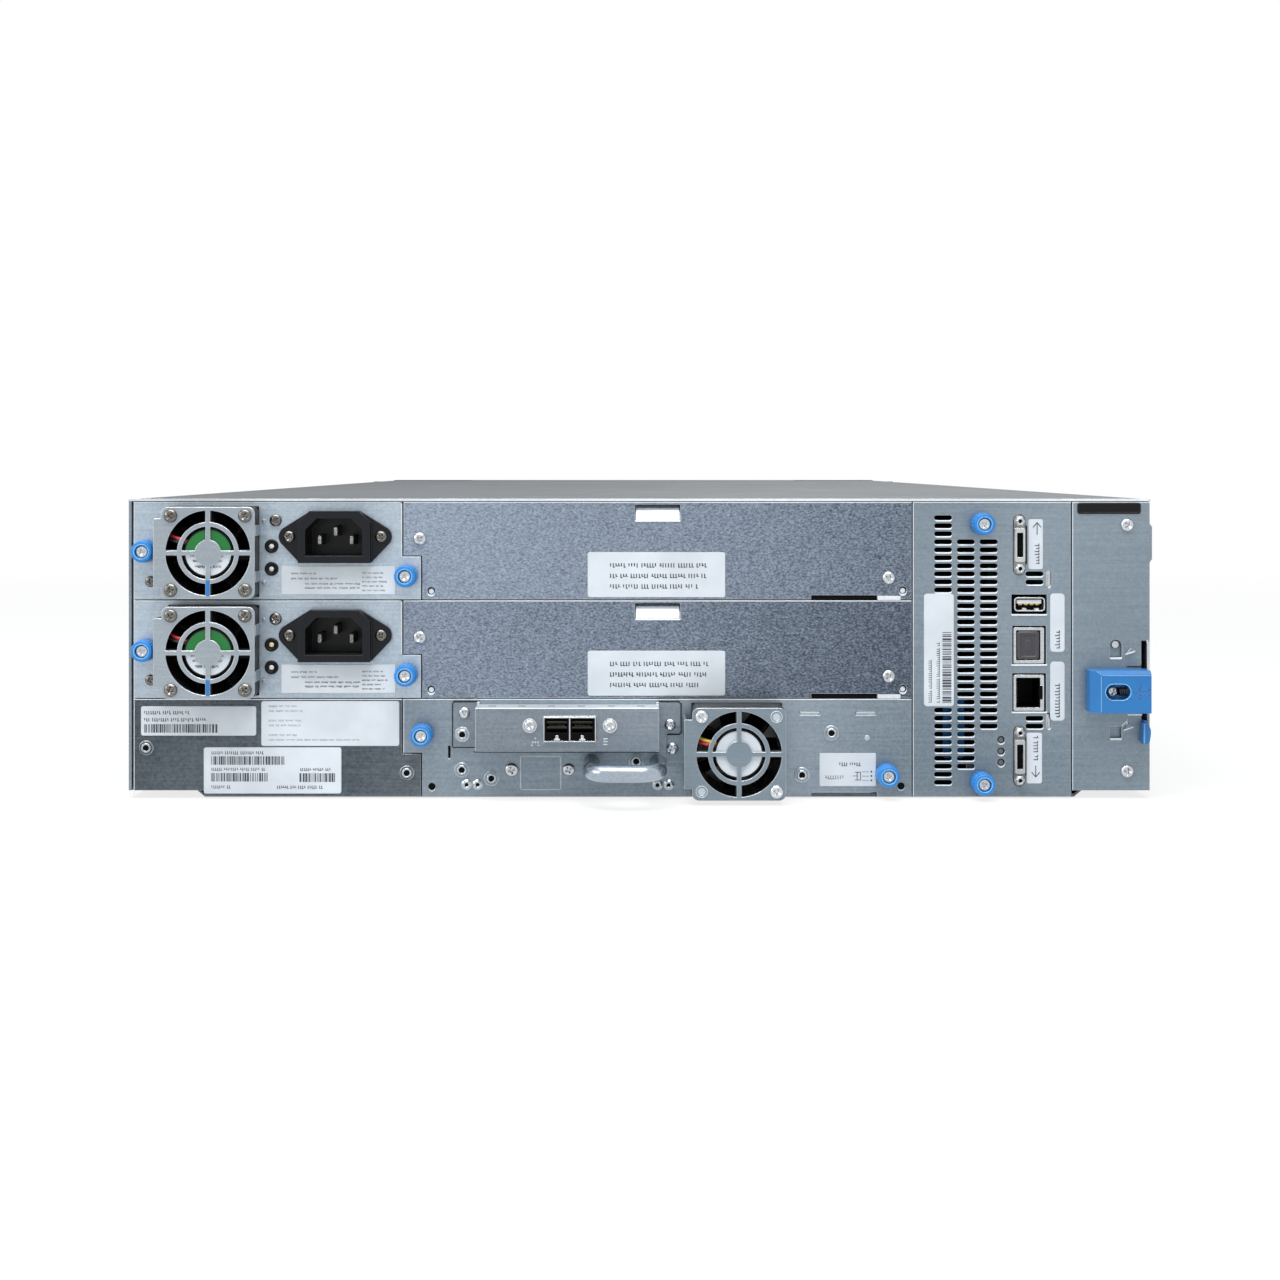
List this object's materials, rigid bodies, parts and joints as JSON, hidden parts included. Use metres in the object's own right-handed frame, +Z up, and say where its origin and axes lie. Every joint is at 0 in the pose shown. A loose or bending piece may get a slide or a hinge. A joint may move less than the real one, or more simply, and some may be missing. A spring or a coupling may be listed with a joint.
{
  "type": "data tape library",
  "caption": "Rack-mounted data tape library: pull-out cartridge magazines at the front, captive-screwed power, drive and control modules at the rear, and a lifting, turning robot.",
  "frame": {"origin": "centre of the chassis base's underside", "axes": "+X right as seen from the rear, +Y from the rear face to the front bezel, +Z up"},
  "size_m": [0.4826, 0.908, 0.1304],
  "materials": {
    "zinc_sheet": "satin zinc-plated sheet",
    "dark_zinc_sheet": "satin zinc-plated sheet, darker",
    "galvanised_sheet": "mottled galvanised sheet",
    "screw_steel": "bright plated steel",
    "spring_steel": "dark spring wire",
    "aluminium": "satin",
    "circuit_board": "green circuit board",
    "blue_plastic": "blue moulded plastic",
    "black_plastic": "black moulded plastic",
    "grey_plastic": "dark grey moulded plastic",
    "bezel_plastic": "fine textured black plastic",
    "button_plastic": "silver grey plastic",
    "cartridge_plastic": "dark textured plastic",
    "inlet_plastic": "black moulded plastic",
    "ear_paint": "black powder coat",
    "drive_metal": "plain cast and folded metal",
    "port_metal": "nickel-plated shell",
    "screen_glass": "dark display glass"
  },
  "bodies": {
    "chassis": {"base_pan": "zinc_sheet", "left_wall": "zinc_sheet", "right_wall": "zinc_sheet", "top_cover": "zinc_sheet", "rear_frame": "zinc_sheet", "power_bay_cover": "dark_zinc_sheet", "bay_cover_lower": "galvanised_sheet", "bay_cover_upper": "galvanised_sheet", "side_panel": "zinc_sheet", "fixed_screws": "screw_steel", "backplane_board": "circuit_board", "lift_posts": "screw_steel", "front_bezel": "bezel_plastic", "rack_ears": "ear_paint", "display_housing": "black_plastic", "touch_screen": "screen_glass"},
    "latch": {"latch_slider": "blue_plastic", "latch_spring": "spring_steel"},
    "lock_lever": {"lock_lever": "blue_plastic"},
    "power_button": {"power_button": "button_plastic"},
    "sled": {"sled_case": "dark_zinc_sheet", "sled_handle": "aluminium", "sled_fan_guard": "zinc_sheet", "sled_fan_frame": "black_plastic", "interface_bracket": "zinc_sheet", "host_ports": "port_metal", "tape_drive": "drive_metal"},
    "sled_fan": {"sled_fan_rotor": "black_plastic"},
    "sled_thumb_left": {"sled_screw_left": "blue_plastic"},
    "sled_thumb_right": {"sled_screw_right": "blue_plastic"},
    "controller": {"controller_tray": "zinc_sheet", "controller_board": "circuit_board", "controller_ports": "port_metal"},
    "controller_thumb_top": {"controller_screw_top": "blue_plastic"},
    "controller_thumb_bottom": {"controller_screw_bottom": "blue_plastic"},
    "magazine_right": {"magazine_right": "grey_plastic", "cartridges_right": "cartridge_plastic"},
    "magazine_left": {"magazine_left": "grey_plastic", "cartridges_left": "cartridge_plastic"},
    "mail_slot": {"mail_slot": "grey_plastic", "cartridges_mail": "cartridge_plastic"},
    "lift": {"lift_frame": "aluminium"},
    "lift_screw": {"lift_screw": "screw_steel"},
    "carriage": {"travel_carriage": "aluminium"},
    "picker": {"picker": "grey_plastic"},
    "gripper": {"gripper": "black_plastic"},
    "psu_upper": {"psu_upper_case": "zinc_sheet", "psu_upper_fan_guard": "zinc_sheet", "psu_upper_fan_frame": "black_plastic", "psu_upper_inlet": "inlet_plastic"},
    "psu_upper_fan": {"psu_upper_fan_rotor": "black_plastic"},
    "psu_upper_thumb_left": {"psu_upper_screw_left": "blue_plastic"},
    "psu_upper_thumb_right": {"psu_upper_screw_right": "blue_plastic"},
    "psu_lower": {"psu_lower_case": "zinc_sheet", "psu_lower_fan_guard": "zinc_sheet", "psu_lower_fan_frame": "black_plastic", "psu_lower_inlet": "inlet_plastic"},
    "psu_lower_fan": {"psu_lower_fan_rotor": "black_plastic"},
    "psu_lower_thumb_left": {"psu_lower_screw_left": "blue_plastic"},
    "psu_lower_thumb_right": {"psu_lower_screw_right": "blue_plastic"}
  },
  "joints": [
    {"name": "psu_upper_slide", "type": "slide", "parent": "chassis", "child": "psu_upper", "axis": [0, -1, 0], "range_m": [0, 0.2]},
    {"name": "psu_upper_fan_spin", "type": "hinge", "parent": "psu_upper", "child": "psu_upper_fan", "pos_m": [-0.1858, -0.425, 0.1072], "axis": [0, -1, 0], "continuous": true},
    {"name": "psu_upper_thumb_left_turn", "type": "hinge", "parent": "psu_upper", "child": "psu_upper_thumb_left", "pos_m": [-0.215, -0.425, 0.1076], "axis": [0, -1, 0], "continuous": true},
    {"name": "psu_upper_thumb_right_turn", "type": "hinge", "parent": "psu_upper", "child": "psu_upper_thumb_right", "pos_m": [-0.1014, -0.425, 0.0969], "axis": [0, -1, 0], "continuous": true},
    {"name": "psu_lower_slide", "type": "slide", "parent": "chassis", "child": "psu_lower", "axis": [0, -1, 0], "range_m": [0, 0.2]},
    {"name": "psu_lower_fan_spin", "type": "hinge", "parent": "psu_lower", "child": "psu_lower_fan", "pos_m": [-0.1858, -0.425, 0.0642], "axis": [0, -1, 0], "continuous": true},
    {"name": "psu_lower_thumb_left_turn", "type": "hinge", "parent": "psu_lower", "child": "psu_lower_thumb_left", "pos_m": [-0.215, -0.425, 0.0646], "axis": [0, -1, 0], "continuous": true},
    {"name": "psu_lower_thumb_right_turn", "type": "hinge", "parent": "psu_lower", "child": "psu_lower_thumb_right", "pos_m": [-0.1014, -0.425, 0.0539], "axis": [0, -1, 0], "continuous": true},
    {"name": "sled_slide", "type": "slide", "parent": "chassis", "child": "sled", "axis": [0, -1, 0], "range_m": [0, 0.24]},
    {"name": "sled_fan_spin", "type": "hinge", "parent": "sled", "child": "sled_fan", "pos_m": [0.0425, -0.425, 0.0214], "axis": [0, -1, 0], "continuous": true},
    {"name": "sled_thumb_left_turn", "type": "hinge", "parent": "sled", "child": "sled_thumb_left", "pos_m": [-0.0945, -0.425, 0.0279], "axis": [0, -1, 0], "continuous": true},
    {"name": "sled_thumb_right_turn", "type": "hinge", "parent": "sled", "child": "sled_thumb_right", "pos_m": [0.1077, -0.425, 0.0104], "axis": [0, -1, 0], "continuous": true},
    {"name": "controller_slide", "type": "slide", "parent": "chassis", "child": "controller", "axis": [0, -1, 0], "range_m": [0, 0.17]},
    {"name": "controller_thumb_top_turn", "type": "hinge", "parent": "controller", "child": "controller_thumb_top", "pos_m": [0.149, -0.425, 0.1195], "axis": [0, -1, 0], "continuous": true},
    {"name": "controller_thumb_bottom_turn", "type": "hinge", "parent": "controller", "child": "controller_thumb_bottom", "pos_m": [0.149, -0.425, 0.0069], "axis": [0, -1, 0], "continuous": true},
    {"name": "latch_slide", "type": "slide", "parent": "chassis", "child": "latch", "axis": [-1, 0, 0], "range_m": [0, 0.0035], "stiffness_N_per_m": 300, "springref_m": -0.003, "deforming": ["latch_spring"]},
    {"name": "lock_lever_slide", "type": "slide", "parent": "chassis", "child": "lock_lever", "axis": [0, 0, 1], "range_m": [0, 0.004]},
    {"name": "power_button_press", "type": "slide", "parent": "chassis", "child": "power_button", "axis": [0, -1, 0], "range_m": [0, 0.0015], "stiffness_N_per_m": 800, "springref_m": -0.0005},
    {"name": "magazine_right_slide", "type": "slide", "parent": "chassis", "child": "magazine_right", "axis": [0, 1, 0], "range_m": [0, 0.42]},
    {"name": "magazine_left_slide", "type": "slide", "parent": "chassis", "child": "magazine_left", "axis": [0, 1, 0], "range_m": [0, 0.42]},
    {"name": "mail_slot_slide", "type": "slide", "parent": "magazine_left", "child": "mail_slot", "axis": [0, 1, 0], "range_m": [0, 0.11]},
    {"name": "lift_rise", "type": "slide", "parent": "chassis", "child": "lift", "axis": [0, 0, 1], "range_m": [0, 0.092]},
    {"name": "lift_screw_turn", "type": "hinge", "parent": "chassis", "child": "lift_screw", "pos_m": [0.06, 0.406, 0.0015], "axis": [0, 0, 1], "range_deg": [0, 1660]},
    {"name": "carriage_travel", "type": "slide", "parent": "lift", "child": "carriage", "axis": [0, 1, 0], "range_m": [0, 0.43]},
    {"name": "picker_turn", "type": "hinge", "parent": "carriage", "child": "picker", "pos_m": [0, -0.103, 0.0104], "axis": [0, 0, 1], "range_deg": [-90, 90]},
    {"name": "gripper_reach", "type": "slide", "parent": "picker", "child": "gripper", "axis": [0, -1, 0], "range_m": [0, 0.08]}
  ],
  "couplings": [
    {"joint": "lift_screw_turn", "follows": "lift_rise", "rad_per_m": 314.16}
  ]
}
